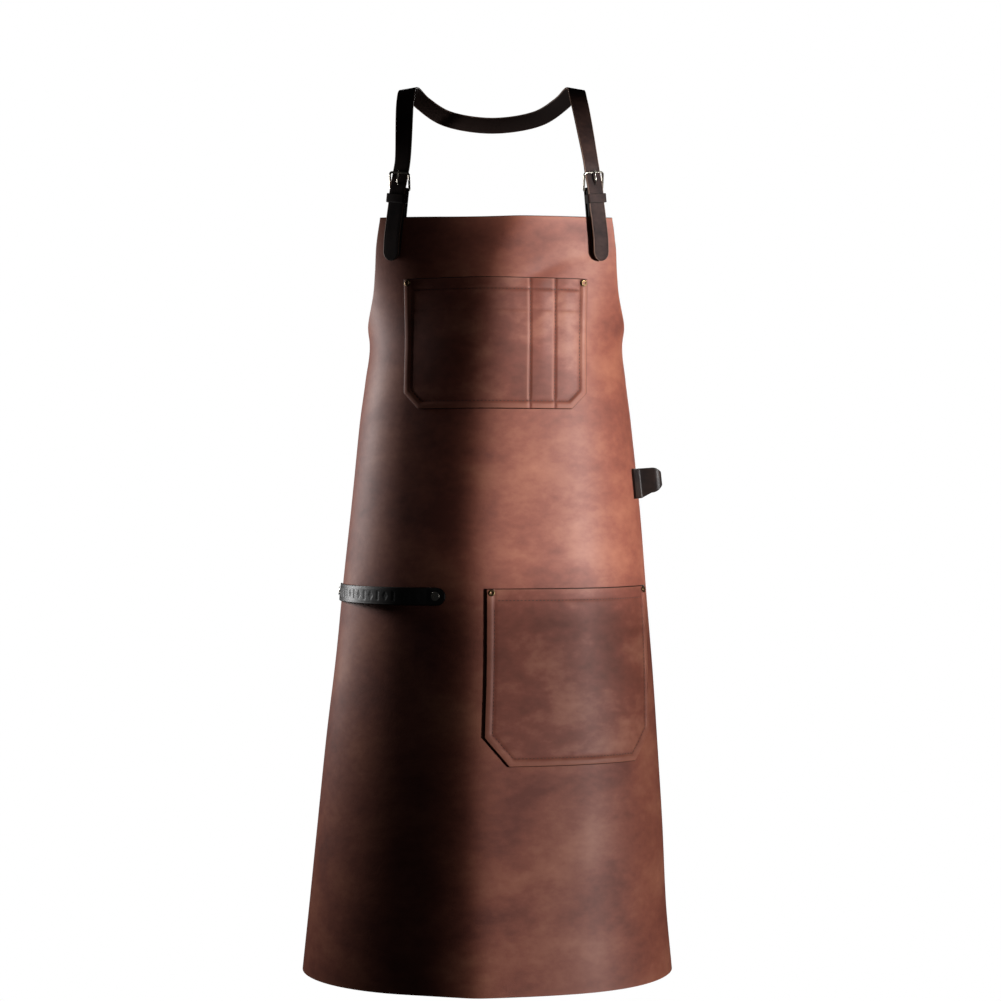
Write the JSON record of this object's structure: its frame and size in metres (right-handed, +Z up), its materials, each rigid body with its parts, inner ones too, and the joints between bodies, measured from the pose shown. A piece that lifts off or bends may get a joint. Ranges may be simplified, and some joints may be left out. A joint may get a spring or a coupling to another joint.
{
  "type": "leather kitchen apron",
  "caption": "Brown leather bib apron as worn, with a bent panel, a chest pocket with pen slots, a hip pocket, a buckled neck strap, a towel strap, a side loop and a waist band behind.",
  "frame": {"origin": "inner face of the neck strap at the nape, on the wearer's centre line: where the worn apron hangs", "axes": "+Z up along the hanging apron, -Y out of its front, +X to the viewer's right; the panel drops away from the origin along -Z"},
  "size_m": [0.42, 0.2722, 1.0042],
  "materials": {
    "hide": "waxed pull-up leather, reddish brown",
    "pocket": "waxed leather, a little darker",
    "strap": "smooth dark brown leather",
    "rivet": "aged brass",
    "buckle": "bright nickel-plated steel"
  },
  "bodies": {
    "root": {"apron_panel": "hide", "chest_pocket": "pocket", "hip_pocket": "pocket", "neck_strap": "strap", "buckle_strap_left": "strap", "buckle_strap_right": "strap", "towel_strap": "strap", "side_loop": "strap", "waist_strap_left": "strap", "waist_strap_right": "strap", "buckle_frame_left": "buckle", "buckle_frame_right": "buckle", "buckle_prong_left": "buckle", "buckle_prong_right": "buckle", "strap_keeper_left": "strap", "strap_keeper_right": "strap", "waist_clasp": "buckle", "towel_stud_front": "buckle", "towel_stud_side": "buckle", "strap_rivet_left": "rivet", "strap_rivet_right": "rivet", "chest_rivet_left": "rivet", "chest_rivet_right": "rivet", "hip_rivet_left": "rivet", "hip_rivet_right": "rivet", "waist_rivet_left": "rivet", "waist_rivet_right": "rivet", "side_loop_rivet": "rivet"}
  },
  "joints": []
}
